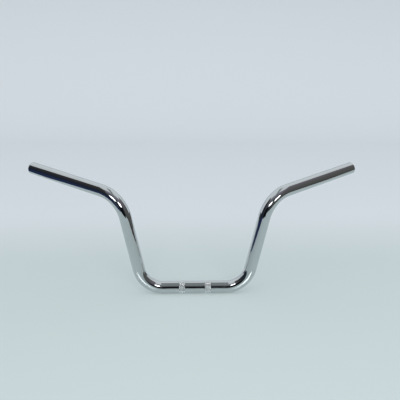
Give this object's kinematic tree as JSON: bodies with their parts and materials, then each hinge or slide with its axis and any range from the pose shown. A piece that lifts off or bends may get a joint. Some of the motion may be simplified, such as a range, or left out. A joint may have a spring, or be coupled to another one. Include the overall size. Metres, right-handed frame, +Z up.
{
  "type": "moped handlebar",
  "caption": "Chromed steel moped handlebar: a bent tube that rises from a knurled clamp seat through upright legs to swept-back grip ends.",
  "frame": {"origin": "the middle of the straight clamp stretch, on the tube's axis", "axes": "+X along the clamp stretch to the rider's left, +Y back towards the rider, +Z up in the plane of the legs"},
  "size_m": [0.6008, 0.1099, 0.2205],
  "materials": {
    "chrome": "polished"
  },
  "bodies": {
    "root": {"handlebar_tube": "chrome"}
  },
  "joints": []
}
